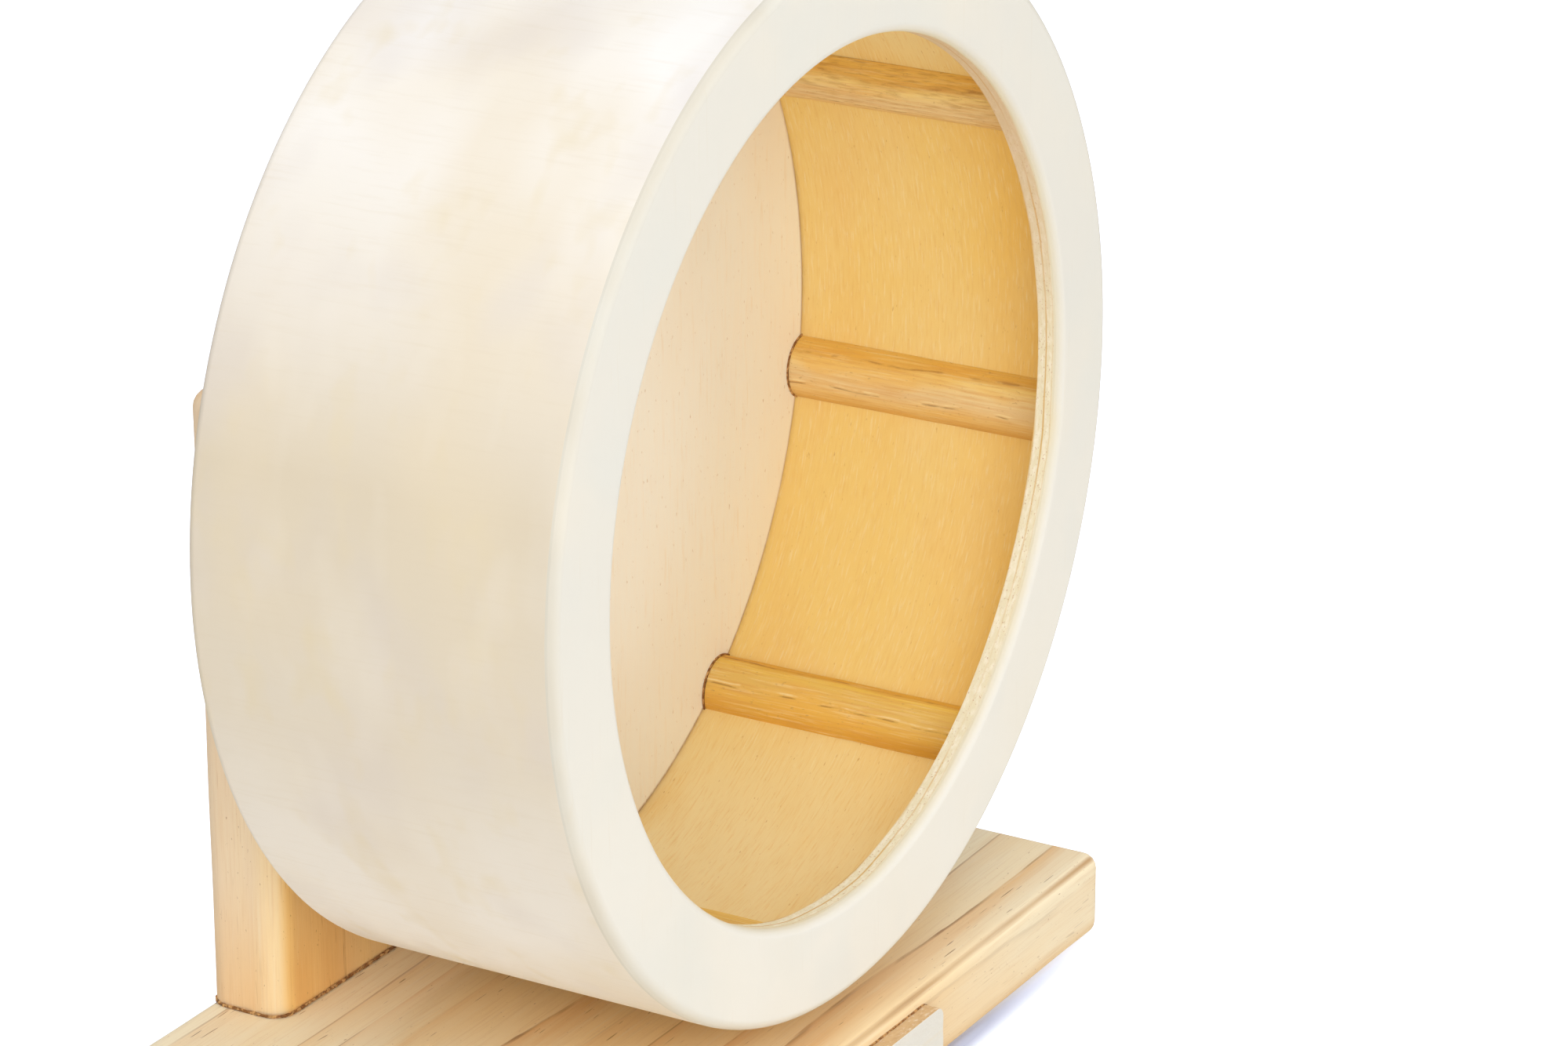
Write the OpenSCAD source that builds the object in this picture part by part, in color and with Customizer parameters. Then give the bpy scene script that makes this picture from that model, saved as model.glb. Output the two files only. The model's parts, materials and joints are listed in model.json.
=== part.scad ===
// Rodent exercise wheel: a plywood drum that turns on two ball bearings in front of a pine stand.
// Millimetres. The origin is the centre of the base board's underside, +Z is up,
// and the open mouth of the drum faces -Y. The axle lies along Y, over the origin.

/* [Drum] */
// Outside diameter of the drum
drum_d = 210; // [170:1:280]
// Depth of the drum from the mouth ring's face to its back edge
drum_depth = 78; // [60:1:120]
// Wall of the bent plywood band
band_wall = 4; // [3:0.5:6]
// Thickness of the mouth ring
ring_t = 5.5; // [5:0.5:10]
// Width of the flat of the mouth ring, from its hole to the outside of the drum
ring_w = 19.5; // [12:0.5:30]
// Rounding of the drum's outer edges and of the mouth hole
lip_r = 2; // [0.5:0.25:2.25]
// Thickness of the back panel
panel_t = 9; // [8:0.5:14]

/* [Rungs] */
// Width of a rung where it meets the band
rung_w = 13.5; // [11:0.5:20]
// Height of a rung above the band
rung_h = 5.2; // [3:0.2:5.4]
// Gap between a rung's end and the back panel
rung_end_gap = 0.3; // [0.1:0.1:0.6]

/* [Base board] */
// Width of the base board
base_w = 190; // [150:1:260]
// Thickness of the base board
base_t = 18; // [15:1:25]
// Rounding of the base board's edges
base_edge_r = 3; // [1:0.5:5]
// Rounding of the base board's upright corners, seen from above
base_corner_r = 4; // [1:0.5:8]
// How far the mouth ring stands back from the base board's front edge
front_setback = 7; // [2:0.5:30]
// Height of the drum above the base board
floor_gap = 5.5; // [3:0.5:20]

/* [Back post] */
// Width of the back post
post_w = 115; // [90:1:150]
// Thickness of the back post
post_t = 18; // [17:0.5:25]
// Height of the post's top above the axle
post_above_axle = 16.5; // [14:0.5:60]
// Rounding of the post's upright edges, seen from above
post_edge_r = 5; // [1:0.5:7]
// Rounding of the post's top corners, seen from the front
post_corner_r = 6; // [1:0.5:12]
// Rounding of the post's top edges, seen from the side
post_top_r = 3; // [1:0.5:6]

/* [Label plate] */
// Width of the label plate
plate_w = 38; // [20:1:80]
// Height of the label plate
plate_h = 12; // [6:0.5:12]
// Thickness of the label plate
plate_t = 3.5; // [2:0.5:6]
// How far the label plate's top lies below the base board's top
plate_drop = 2.8; // [0.4:0.2:3]
// Rounding of the label plate's corners
plate_corner_r = 2.5; // [0.5:0.5:2.5]

/* [Hub] */
// Diameter of the hub boss on the drum's back
boss_d = 60; // [54:1:90]
// Web of the hub boss that parts the two bearings
boss_web = 3; // [2:0.5:8]
// Gap between the hub boss and the back post
post_gap = 7; // [4:0.5:20]
// Diameter of the hole through the web and the panel's shoulder
web_hole_d = 18; // [15:0.5:19]
// Diameter of the hub cap inside the drum
cap_d = 34; // [30:1:60]
// Height of the hub cap above the back panel
cap_h = 9; // [8.5:0.5:12]
// Rounding of the hub cap's edge
cap_edge_r = 3; // [1:0.5:5]
// Clearance between the hub cap and the head of the axle bolt
cap_clearance = 0.8; // [0.5:0.1:1]
// Circle that the hub screws stand on
hub_screw_circle_d = 42; // [38:1:45]
// Number of hub screws
hub_screw_count = 3; // [3:1:6]
// Diameter of a hub screw
hub_screw_d = 3.5; // [3:0.5:4.5]
// Diameter of a hub screw's head
hub_screw_head_d = 7; // [6:0.5:9]
// Length of a hub screw
hub_screw_len = 16; // [13:1:18]

/* [Bearings] */
// Bore of a bearing
bearing_bore_d = 8; // [6:0.5:9]
// Outside diameter of a bearing
bearing_d = 22; // [21:0.5:23]
// Width of a bearing
bearing_w = 7; // [6.5:0.25:7.5]
// Diameter of the circle that the balls roll on
ball_circle_d = 15; // [14.5:0.1:15.5]
// Diameter of a ball
ball_d = 3.9; // [3.5:0.1:4]
// Number of balls in a bearing
ball_count = 7; // [5:1:8]
// Gap between a ball and its groove
race_gap = 0.08; // [0.04:0.01:0.1]
// Depth of the grooves that the balls run in
groove_depth = 0.6; // [0.4:0.05:0.7]
// Width of a cage
cage_w = 5; // [4.6:0.1:5.2]
// Radial thickness of a cage
cage_t = 1.8; // [1.4:0.1:2]
// Thickness of a shield
shield_t = 0.35; // [0.2:0.05:0.4]
// Distance from a bearing's face to its shield
shield_inset = 0.2; // [0.1:0.05:0.3]
// Depth of the step in the outer ring that a shield sits in
shield_step = 0.5; // [0.3:0.05:0.6]
// Running gap between a shield and the inner ring
shield_gap = 0.3; // [0.2:0.05:0.5]

/* [Axle] */
// Diameter of the axle bolt's head
head_d = 14; // [13:0.5:15]
// Height of the axle bolt's head
head_h = 4.4; // [4:0.2:5]
// Diameter of the flat top of the bolt's head
head_top_d = 8; // [7:0.5:10]
// Width across flats of the socket in the bolt's head
socket_af = 5; // [4:0.5:6]
// Depth of the socket in the bolt's head
socket_depth = 2.6; // [1.5:0.1:3]
// Outside diameter of the sleeves on the axle
sleeve_d = 11.5; // [11:0.25:12]
// Outside diameter of the small washers
washer_d = 16; // [14:0.5:17]
// Thickness of the small washer under the bolt's head
head_washer_t = 1.6; // [1:0.2:2]
// Outside diameter of the head's washer
head_washer_d = 12; // [11.5:0.25:12]
// Outside diameter of the wide washer in front of the post
wide_washer_d = 24; // [18:1:30]
// Thickness of the washers on the post
post_washer_t = 1.6; // [1:0.2:2]
// Width across flats of the axle nut
nut_af = 13; // [12:0.5:14]
// Height of the axle nut
nut_h = 6.8; // [5:0.2:7]
// Diameter of the recess in the post's back for the nut
recess_d = 20; // [18:0.5:26]
// How far the nut lies below the post's back face
nut_below = 1; // [0.5:0.25:2]
// How far the bolt's tip stands out of the nut
bolt_tip = 0.4; // [0.1:0.1:0.4]

/* [Joinery] */
// Diameter of a dowel between post and base board
dowel_d = 8; // [6:1:10]
// Length of a dowel
dowel_len = 34; // [24:1:60]
// How far a dowel reaches into the base board
dowel_in_base = 13; // [8:1:14]
// Distance between the two dowels
dowel_spacing = 76; // [60:1:78]
// Diameter of a post screw
post_screw_d = 4.5; // [3.5:0.5:5]
// Diameter of a post screw's head
post_screw_head_d = 9; // [7:0.5:10]
// Length of a post screw
post_screw_len = 50; // [40:5:70]
// Distance between the two post screws
post_screw_spacing = 40; // [20:1:50]
// How far a countersunk head lies below the wood's face
head_sink = 0.5; // [0.2:0.1:1]

/* [Fits] */
// Slack round a screw, a dowel or the axle bolt in its hole
hole_slack = 0.05; // [0.02:0.01:0.1]
// Glue line round a piece that is set into another
glue_line = 0.05; // [0.02:0.01:0.1]
// Slack of a bearing in its seat and on the axle
seat_slack = 0.02; // [0.01:0.01:0.04]

/* [Hidden] */
$fn = 120;
// Steps in a quarter of a rounded edge
arc_steps = 8;
// A nut and a socket have six flats
hex_sides = 6;
// Each of the nine rungs is a node of its own
rung_count = 9;

drum_r = drum_d / 2;
band_in_r = drum_r - band_wall;
mouth_r = drum_r - ring_w;
bearing_r = bearing_d / 2;
bolt_r = bearing_bore_d / 2 - seat_slack;
boss_t = boss_web + bearing_w;

// Places along the axle, from the front of the base board to its back
base_depth = front_setback + drum_depth + boss_t + post_gap + post_t;
base_front_y = -base_depth / 2;
base_back_y = base_depth / 2;
drum_front_y = base_front_y + front_setback;
ring_back_y = drum_front_y + ring_t;
drum_back_y = drum_front_y + drum_depth;
panel_front_y = drum_back_y - panel_t;
boss_back_y = drum_back_y + boss_t;
post_front_y = base_back_y - post_t;
front_bearing_y = panel_front_y;
rear_bearing_y = boss_back_y - bearing_w;
spacer_y = front_bearing_y + bearing_w;
head_seat_y = front_bearing_y - head_washer_t;
post_washer_y = post_front_y - post_washer_t;
nut_y = base_back_y - nut_below - nut_h;
recess_floor_y = nut_y - post_washer_t;
bolt_end_y = nut_y + nut_h + bolt_tip;

// Heights above the floor
axle_z = base_t + floor_gap + drum_r;
post_top_z = axle_z + post_above_axle;
plate_z = base_t - plate_drop - plate_h;
post_mid_y = base_back_y - post_t / 2;

// A rung is a slice of a round rod, cut to the curve of the band
rung_r = (pow(rung_w / 2, 2) + pow(rung_h, 2)) / (2 * rung_h);
rung_mid_r = band_in_r - rung_h + rung_r;
rung_len = panel_front_y - rung_end_gap - ring_back_y;
// The first rung lies at the bottom of the drum
first_rung_angle = 90;

// Inside a bearing
groove_r = ball_d / 2 + race_gap;
inner_land_r = ball_circle_d / 2 - groove_r + groove_depth;
outer_land_r = ball_circle_d / 2 + groove_r - groove_depth;
shield_r = outer_land_r + shield_step;
shield_hole_r = inner_land_r + shield_gap;
cage_in_r = (ball_circle_d - cage_t) / 2;
cage_out_r = (ball_circle_d + cage_t) / 2;
// A ball sits in a pocket drilled through its cage
cage_pocket_r = ball_d / 2 + race_gap;

plywood = "blanchedalmond";
veneer = "burlywood";
pine = "wheat";
beech = "tan";
steel = "silver";
bright_steel = "gainsboro";
brass_like = "darkkhaki";

// Points of an arc round (x, y), or the one point of a sharp corner
function arc(x, y, r, from) = r == 0 ? [[x, y]] :
    [for (i = [0:arc_steps]) let (a = from + 90 * i / arc_steps) [x + r * cos(a), y + r * sin(a)]];

// A rectangle centred on x, standing on y = 0, with rounded top and bottom corners
function rounded_rect(w, h, top_r, bottom_r) = concat(
    arc(w / 2 - top_r, h - top_r, top_r, 0),
    arc(-w / 2 + top_r, h - top_r, top_r, 90),
    arc(-w / 2 + bottom_r, bottom_r, bottom_r, 180),
    arc(w / 2 - bottom_r, bottom_r, bottom_r, 270));

// A board with its back edge at back_y, standing on z: plan_r rounds its upright corners,
// face_r its corners seen from the front and side_r its edges seen from the side
module soft_board(w, t, h, back_y, z, plan_r, face_r, side_r, bottom_face_r, bottom_side_r) {
    translate([0, back_y - t, z]) intersection() {
        linear_extrude(h) polygon(rounded_rect(w, t, plan_r, plan_r));
        translate([0, t, 0]) rotate([90, 0, 0])
            linear_extrude(t) polygon(rounded_rect(w, h, face_r, bottom_face_r));
        translate([-w / 2, t / 2, 0]) rotate([90, 0, 90])
            linear_extrude(w) polygon(rounded_rect(t, h, side_r, bottom_side_r));
    }
}

// Puts what is drawn along +Z onto the axle, starting at y
module on_axle(y) {
    translate([0, y, axle_z]) rotate([-90, 0, 0]) children();
}

// A ring on the axle
module ring(y, r, hole_r, t) {
    on_axle(y) difference() {
        cylinder(r = r, h = t);
        translate([0, 0, -1]) cylinder(r = hole_r, h = t + 2);
    }
}

// A countersunk wood screw that points along +Z from its head's face
module wood_screw(d, head_d, len) {
    head_cone_h = (head_d - d) / 2;
    cylinder(r1 = head_d / 2, r2 = d / 2, h = head_cone_h);
    translate([0, 0, head_cone_h]) cylinder(r = d / 2, h = len - head_cone_h);
}

// The room for such a screw, with its countersink opened out to the wood's face
module screw_room(d, head_d, len) {
    room_d = d + 2 * hole_slack;
    room_head_d = head_d + 2 * hole_slack;
    wood_screw(room_d, room_head_d, len + hole_slack);
    translate([0, 0, -head_sink - 1]) cylinder(r = room_head_d / 2, h = head_sink + 1);
}

module post_dowel_places() {
    for (side = [-1, 1]) translate([side * dowel_spacing / 2, post_mid_y, base_t - dowel_in_base])
        children();
}

module post_screw_places() {
    for (side = [-1, 1]) translate([side * post_screw_spacing / 2, post_mid_y, head_sink])
        children();
}

module hub_screw_places() {
    for (i = [0:hub_screw_count - 1])
        on_axle(boss_back_y - head_sink) rotate([0, 0, first_rung_angle + i * 360 / hub_screw_count])
            translate([hub_screw_circle_d / 2, 0, 0]) rotate([180, 0, 0]) children();
}

module dowel_room() {
    post_dowel_places() translate([0, 0, -hole_slack])
        cylinder(r = dowel_d / 2 + hole_slack, h = dowel_len + 2 * hole_slack);
}

module base_board() {
    color(pine) difference() {
        soft_board(base_w, base_depth, base_t, base_back_y, 0,
                   base_corner_r, base_edge_r, base_edge_r, base_edge_r, base_edge_r);
        dowel_room();
        post_screw_places() screw_room(post_screw_d, post_screw_head_d, post_screw_len);
    }
}

module back_post() {
    color(pine) difference() {
        soft_board(post_w, post_t, post_top_z - base_t, base_back_y, base_t,
                   post_edge_r, post_corner_r, post_top_r, 0, 0);
        dowel_room();
        post_screw_places() screw_room(post_screw_d, post_screw_head_d, post_screw_len);
        on_axle(post_front_y - 1) cylinder(r = bolt_r + hole_slack, h = post_t + 2);
        on_axle(recess_floor_y) cylinder(r = recess_d / 2, h = post_t);
    }
}

module label_plate() {
    color(plywood) translate([0, base_front_y, plate_z]) rotate([90, 0, 0])
        linear_extrude(plate_t)
            polygon(rounded_rect(plate_w, plate_h, plate_corner_r, plate_corner_r));
}

module post_dowels() {
    color(beech) post_dowel_places() cylinder(r = dowel_d / 2, h = dowel_len);
}

module post_screws() {
    color(brass_like) post_screw_places() wood_screw(post_screw_d, post_screw_head_d, post_screw_len);
}

module rim_band() {
    band_len = drum_back_y - ring_back_y;
    color(veneer) on_axle(ring_back_y) rotate_extrude() polygon(concat(
        [[band_in_r, 0], [drum_r, 0]],
        arc(drum_r - lip_r, band_len - lip_r, lip_r, 0),
        [[band_in_r, band_len]]));
}

// The mouth ring's outer front edge and its hole's front edge are rounded
module front_ring() {
    color(plywood) on_axle(drum_front_y) rotate_extrude() polygon(concat(
        [[mouth_r, ring_t]],
        arc(mouth_r + lip_r, lip_r, lip_r, 180),
        arc(drum_r - lip_r, lip_r, lip_r, 270),
        [[drum_r, ring_t]]));
}

module back_panel() {
    color(plywood) difference() {
        ring(panel_front_y, band_in_r - glue_line, web_hole_d / 2, panel_t);
        on_axle(front_bearing_y - 1) cylinder(r = bearing_r + seat_slack, h = bearing_w + 1);
        hub_screw_places() screw_room(hub_screw_d, hub_screw_head_d, hub_screw_len);
    }
}

// Rung number n, counted clockwise from the bottom, seen from the mouth
module rung(n) {
    color("goldenrod") on_axle(ring_back_y)
        rotate([0, 0, first_rung_angle + (n - 1) * 360 / rung_count]) intersection() {
            cylinder(r = band_in_r - glue_line, h = rung_len);
            translate([rung_mid_r, 0, 0]) cylinder(r = rung_r, h = rung_len);
        }
}

module hub_boss() {
    color(beech) difference() {
        ring(drum_back_y, boss_d / 2, web_hole_d / 2, boss_t);
        on_axle(rear_bearing_y) cylinder(r = bearing_r + seat_slack, h = bearing_w + 1);
        hub_screw_places() screw_room(hub_screw_d, hub_screw_head_d, hub_screw_len);
    }
}

module hub_screws() {
    color(brass_like) hub_screw_places() wood_screw(hub_screw_d, hub_screw_head_d, hub_screw_len);
}

// A turned cap with a rounded edge, hollow where the bolt's head stands
module hub_cap() {
    pocket_r = max(head_d, head_washer_d) / 2 + cap_clearance;
    pocket_depth = head_washer_t + head_h + cap_clearance;
    color(beech) on_axle(panel_front_y - cap_h) rotate_extrude() polygon(concat(
        [[0, cap_h - pocket_depth], [0, 0]],
        arc(cap_d / 2 - cap_edge_r, cap_edge_r, cap_edge_r, 270),
        [[cap_d / 2, cap_h], [pocket_r, cap_h], [pocket_r, cap_h - pocket_depth]]));
}

// A socket-head bolt: its head lies under the hub cap and its tip in the axle nut
module axle_bolt() {
    color(steel) difference() {
        union() {
            on_axle(head_seat_y - head_h) cylinder(r1 = head_top_d / 2, r2 = head_d / 2, h = head_h);
            on_axle(head_seat_y) cylinder(r = bolt_r, h = bolt_end_y - head_seat_y);
        }
        on_axle(head_seat_y - head_h - 1)
            cylinder(r = socket_af / 2 / cos(180 / hex_sides), h = socket_depth + 1, $fn = hex_sides);
    }
}

module head_washer() {
    color(bright_steel) ring(head_seat_y, head_washer_d / 2, bolt_r + hole_slack, head_washer_t);
}

module bearing_spacer() {
    color(steel) ring(spacer_y, sleeve_d / 2, bolt_r + hole_slack, rear_bearing_y - spacer_y);
}

module post_sleeve() {
    color(steel) ring(boss_back_y, sleeve_d / 2, bolt_r + hole_slack, post_washer_y - boss_back_y);
}

module front_post_washer() {
    color(bright_steel) ring(post_washer_y, wide_washer_d / 2, bolt_r + hole_slack, post_washer_t);
}

module rear_post_washer() {
    color(bright_steel) ring(recess_floor_y, washer_d / 2, bolt_r + hole_slack, post_washer_t);
}

module axle_nut() {
    color(steel) on_axle(nut_y) difference() {
        cylinder(r = nut_af / 2 / cos(180 / hex_sides), h = nut_h, $fn = hex_sides);
        translate([0, 0, -1]) cylinder(r = bolt_r + hole_slack, h = nut_h + 2);
    }
}

// The groove that the balls of a bearing run in
module ball_groove() {
    translate([0, 0, bearing_w / 2]) rotate_extrude()
        translate([ball_circle_d / 2, 0]) circle(r = groove_r);
}

module outer_ring(y) {
    step_depth = shield_inset + shield_t;
    color(bright_steel) on_axle(y) difference() {
        cylinder(r = bearing_r, h = bearing_w);
        translate([0, 0, -1]) cylinder(r = outer_land_r, h = bearing_w + 2);
        translate([0, 0, -1]) cylinder(r = shield_r, h = step_depth + 1);
        translate([0, 0, bearing_w - step_depth]) cylinder(r = shield_r, h = step_depth + 1);
        ball_groove();
    }
}

module inner_ring(y) {
    color(bright_steel) on_axle(y) difference() {
        cylinder(r = inner_land_r, h = bearing_w);
        translate([0, 0, -1]) cylinder(r = bearing_bore_d / 2, h = bearing_w + 2);
        ball_groove();
    }
}

// Places the balls of the bearing that starts at y, the first one at the bottom
module ball_places(y) {
    for (i = [0:ball_count - 1])
        on_axle(y + bearing_w / 2) rotate([0, 0, first_rung_angle + i * 360 / ball_count])
            translate([ball_circle_d / 2, 0, 0]) children();
}

module balls(y) {
    color(steel) ball_places(y) sphere(r = ball_d / 2);
}

module cage(y) {
    color(brass_like) difference() {
        ring(y + (bearing_w - cage_w) / 2, cage_out_r, cage_in_r, cage_w);
        ball_places(y) rotate([0, 90, 0])
            cylinder(r = cage_pocket_r, h = cage_t + 2, center = true);
    }
}

module shield(y) {
    color(steel) ring(y, shield_r - seat_slack, shield_hole_r, shield_t);
}

module front_shield(y) { shield(y + shield_inset); }
module back_shield(y) { shield(y + bearing_w - shield_inset - shield_t); }

base_board();
back_post();
label_plate();
post_dowels();
post_screws();
rim_band();
front_ring();
back_panel();
for (n = [1:rung_count]) rung(n);
hub_boss();
hub_screws();
hub_cap();
axle_bolt();
head_washer();
bearing_spacer();
post_sleeve();
front_post_washer();
rear_post_washer();
axle_nut();
outer_ring(front_bearing_y);  // front_bearing_outer_ring
inner_ring(front_bearing_y);  // front_bearing_inner_ring
balls(front_bearing_y);  // front_bearing_balls
cage(front_bearing_y);  // front_bearing_cage
front_shield(front_bearing_y);  // front_bearing_front_shield
back_shield(front_bearing_y);  // front_bearing_back_shield
outer_ring(rear_bearing_y);  // rear_bearing_outer_ring
inner_ring(rear_bearing_y);  // rear_bearing_inner_ring
balls(rear_bearing_y);  // rear_bearing_balls
cage(rear_bearing_y);  // rear_bearing_cage
front_shield(rear_bearing_y);  // rear_bearing_front_shield
back_shield(rear_bearing_y);  // rear_bearing_back_shield
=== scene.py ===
"""Looks of a wooden exercise wheel for small rodents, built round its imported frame."""
import json
import math
from collections import namedtuple
from functools import partial

import bmesh
import bpy
from bpy.props import FloatProperty, FloatVectorProperty, IntProperty, PointerProperty
from mathutils import Euler, Matrix, Vector, noise

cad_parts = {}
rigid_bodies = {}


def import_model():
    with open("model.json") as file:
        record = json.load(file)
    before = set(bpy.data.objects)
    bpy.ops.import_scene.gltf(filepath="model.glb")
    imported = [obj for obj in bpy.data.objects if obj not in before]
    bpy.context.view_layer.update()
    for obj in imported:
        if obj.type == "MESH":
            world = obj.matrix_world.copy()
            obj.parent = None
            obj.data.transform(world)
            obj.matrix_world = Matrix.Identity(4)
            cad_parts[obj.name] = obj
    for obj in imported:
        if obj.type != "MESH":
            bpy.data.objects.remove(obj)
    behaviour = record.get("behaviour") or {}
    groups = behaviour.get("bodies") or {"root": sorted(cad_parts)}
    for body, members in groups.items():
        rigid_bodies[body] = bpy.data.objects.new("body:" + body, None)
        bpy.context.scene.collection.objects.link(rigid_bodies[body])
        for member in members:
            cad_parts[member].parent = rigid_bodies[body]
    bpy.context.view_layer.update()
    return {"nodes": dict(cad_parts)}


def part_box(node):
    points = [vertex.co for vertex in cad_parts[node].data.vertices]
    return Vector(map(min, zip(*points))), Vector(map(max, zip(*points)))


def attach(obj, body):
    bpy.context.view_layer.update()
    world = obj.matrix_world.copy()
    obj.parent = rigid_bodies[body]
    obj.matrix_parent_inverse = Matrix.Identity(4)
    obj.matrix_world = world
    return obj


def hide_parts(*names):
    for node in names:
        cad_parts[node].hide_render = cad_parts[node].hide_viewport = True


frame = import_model()

bl_info = {
    "name": "Rodent exercise wheel",
    "version": (1, 0, 0),
    "blender": (4, 5, 0),
    "location": "View3D > Sidebar > Wheel",
    "description": "Builds a plywood exercise wheel on its pine stand",
    "category": "Add Mesh",
}

MM = 0.001
# Points that lie closer than this are one point
SAME = 1e-6
# Faces that meet at less than this are shaded as one
SMOOTH_ANGLE = math.radians(35)
# Edges whose faces meet at more than this can be rounded
SHARP_ANGLE = 0.5

# Room round the bolt in the pieces that it passes through, and round the bearings in theirs
BOLT_ROOM = 0.05 * MM
BEARING_ROOM = 0.02 * MM
BEARING_WIDTH = 7 * MM
HEAD_RADIUS = 7 * MM

# Socket numbers of a colour Mix node
FACTOR, UNDER, OVER = 0, 6, 7

X, Y, Z = AXES = 0, 1, 2
UP = Vector((0, 0, 1))
BACKWARDS = Vector((0, 1, 0))


def linear(hex_colour):
    """The linear RGBA of an sRGB colour written as six hex digits."""
    parts = [int(hex_colour[i:i + 2], 16) / 255 for i in (0, 2, 4)]
    return [c / 12.92 if c <= 0.04045 else ((c + 0.055) / 1.055) ** 2.4 for c in parts] + [1.0]


BASE_LOW, BASE_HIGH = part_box("base_board")
POST_LOW, POST_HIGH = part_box("back_post")
PLATE_LOW, PLATE_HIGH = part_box("label_plate")
BAND_LOW, BAND_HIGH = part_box("rim_band")
RING_LOW, RING_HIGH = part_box("front_ring")
PANEL_LOW, PANEL_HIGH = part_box("back_panel")
BOSS_LOW, BOSS_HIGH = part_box("hub_boss")
CAP_LOW, CAP_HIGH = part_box("hub_cap")
BOLT_LOW, BOLT_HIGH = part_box("axle_bolt")
RUNG_LOW, RUNG_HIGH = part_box("rung_1")
RUNG_NAMES = sorted(name for name in frame["nodes"] if name.startswith("rung_"))

# The axle runs along Y at this height
AXLE = Vector((0, 0, (BAND_LOW.z + BAND_HIGH.z) / 2))
PANEL_RADIUS = (PANEL_HIGH.x - PANEL_LOW.x) / 2
STAND, WHEEL = "stand", "wheel"


def set_size(name, description, default):
    """A length that a user can change."""
    return FloatProperty(name=name, description=description, default=default, unit="LENGTH")


def set_colour(name, description, default):
    """A colour that a user can change, from hex digits."""
    return FloatVectorProperty(name=name, description=description, default=linear(default),
                               subtype="COLOR", size=4)


class WheelSizes(bpy.types.PropertyGroup):
    """Sizes of the wheel's pieces"""
    drum_radius: set_size("Drum radius", "Outside radius of the drum", BAND_HIGH.z - AXLE.z)
    band_wall: set_size("Band wall", "Wall of the bent plywood band", 4 * MM)
    ring_width: set_size("Ring width", "From the mouth's edge to the outside of the drum",
                         19.5 * MM)
    lip_radius: set_size("Lip radius", "Rounding of the drum's edges", 2 * MM)
    rung_width: set_size("Rung width", "Width of a rung where it meets the band",
                         RUNG_HIGH.x - RUNG_LOW.x)
    rung_height: set_size("Rung height", "Height of a rung above the band", 5.2 * MM)
    board_edge: set_size("Board edge", "Rounding of the base board's long edges", 3 * MM)
    base_corner: set_size("Base corner", "Rounding of the base board's upright corners", 4 * MM)
    post_edge: set_size("Post edge", "Rounding of the post's upright edges", 5 * MM)
    post_top: set_size("Post top", "Rounding round the post's top", 4 * MM)
    plate_corner: set_size("Plate corner", "Rounding of the label plate's corners", 2.5 * MM)
    cap_edge: set_size("Cap edge", "Rounding of the hub cap's front edge", 3 * MM)
    bearing_radius: set_size("Bearing radius", "Outside radius of a ball bearing", 11 * MM)
    web_hole: set_size("Web hole", "Radius of the hole behind each bearing seat", 9 * MM)
    bolt_radius: set_size("Bolt radius", "Radius of the axle bolt's shank", 3.98 * MM)
    nut_recess: set_size("Nut recess", "Radius of the recess in the post's rear face", 10 * MM)
    round_steps: IntProperty(
        name="Round steps", description="Faces round the drum", default=192, min=48, max=384)


class WheelColours(bpy.types.PropertyGroup):
    """Main colours of the wood"""
    band_white: set_colour("Band whitewash", "Thin coat on the outside of the drum", "FBF8F4")
    ring_white: set_colour("Ring whitewash", "Denser coat on the face of the mouth ring",
                           "E7E4DB")
    band_veneer: set_colour("Band veneer", "Bare veneer inside the band", "F8D682")
    panel_veneer: set_colour("Panel veneer", "Bare veneer of the back panel", "FFFAEC")
    rung_wood: set_colour("Rung wood", "Bare wood of the rungs", "F8D080")
    base_pine: set_colour("Base pine", "Pale early wood of the base board", "FFF2D2")
    post_pine: set_colour("Post pine", "Pale early wood of the back post", "F5DDBF")


def add_node(tree, kind, inputs=(), ramp=(), **settings):
    """Adds a shader node with its settings and links.

    inputs lists the values of the first sockets, or maps a socket's name or number to its
    value. A value may be hex digits, a socket, or a node whose first live output is read.
    ramp lists (place, colour) stops, whose colours are hex digits or a grey from 0 to 1.
    """
    node = tree.nodes.new("ShaderNode" + kind)
    if kind == "Mix":
        node.data_type = "RGBA"
    for name, value in settings.items():
        setattr(node, name, value)
    for key, value in inputs.items() if isinstance(inputs, dict) else enumerate(inputs):
        if isinstance(value, bpy.types.Node):
            value = next(socket for socket in value.outputs if socket.enabled)
        if isinstance(value, bpy.types.NodeSocket):
            tree.links.new(value, node.inputs[key])
        else:
            node.inputs[key].default_value = linear(value) if isinstance(value, str) else value
    for number, (place, colour) in enumerate(ramp):
        stops = node.color_ramp.elements
        stop = stops[number] if number < 2 else stops.new(place)
        stop.position = place
        stop.color = linear(colour) if isinstance(colour, str) else (colour, colour, colour, 1)
    return node


def clear_nodes(block):
    """Empties the nodes of a material or a world and gives add_node for them."""
    block.use_nodes = True
    block.node_tree.nodes.clear()
    return partial(add_node, block.node_tree)


def new_finish(name):
    """A new material, and add_node for its nodes."""
    material = bpy.data.materials.new(name)
    return material, clear_nodes(material)


def shade(material, add, colour, relief, depth_mm, **sockets):
    """Ends a material with its shader, which gets its colour and a relief of depth_mm.

    A socket's name has _ for each space.
    """
    normal = add("Bump", {"Height": relief, "Distance": depth_mm * MM})
    values = {name.replace("_", " "): value for name, value in sockets.items()}
    shader = add("BsdfPrincipled", {"Base Color": colour, "Normal": normal, **values})
    add("OutputMaterial", {"Surface": shader})
    return material


def place_along(add, axis):
    """The surface's place along an axis."""
    return add("SeparateXYZ", [add("TexCoord").outputs["Object"]]).outputs[axis]


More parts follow.
